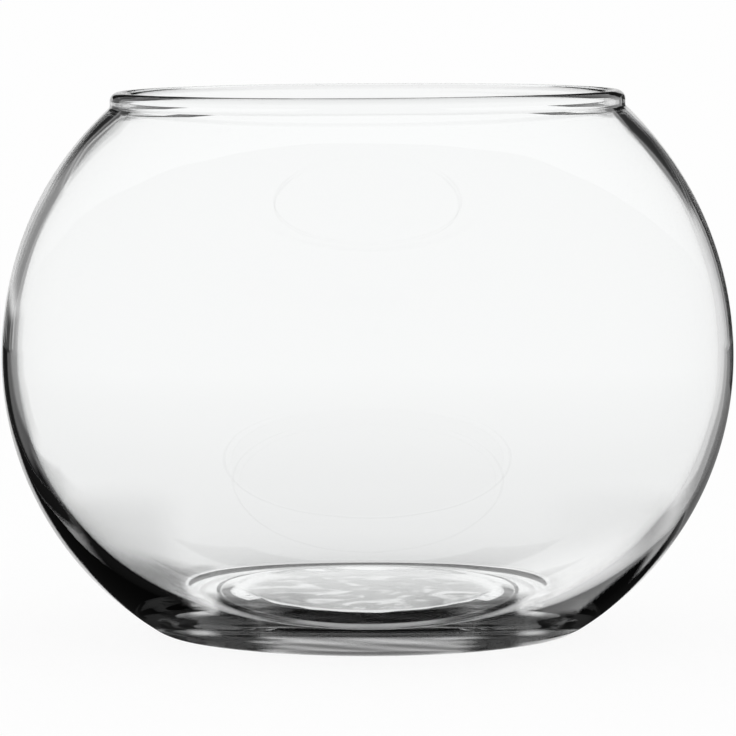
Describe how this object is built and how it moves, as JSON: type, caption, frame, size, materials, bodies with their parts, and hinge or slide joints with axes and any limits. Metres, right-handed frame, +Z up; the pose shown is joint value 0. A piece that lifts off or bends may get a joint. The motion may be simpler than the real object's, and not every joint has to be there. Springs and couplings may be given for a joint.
{
  "type": "rose bowl vase",
  "caption": "Round clear glass rose bowl vase with a drawn-in mouth, a rounded upright lip and a floor pushed up in the middle, made to hold water and cut flowers.",
  "frame": {"origin": "on the bowl's axis, on the surface that it stands on", "axes": "+Z up along the bowl's axis, X and Y level; the bowl is the same all round"},
  "size_m": [0.152, 0.152, 0.113],
  "materials": {
    "clear_glass": "polished"
  },
  "bodies": {
    "root": {"glass_bowl": "clear_glass"}
  },
  "joints": []
}
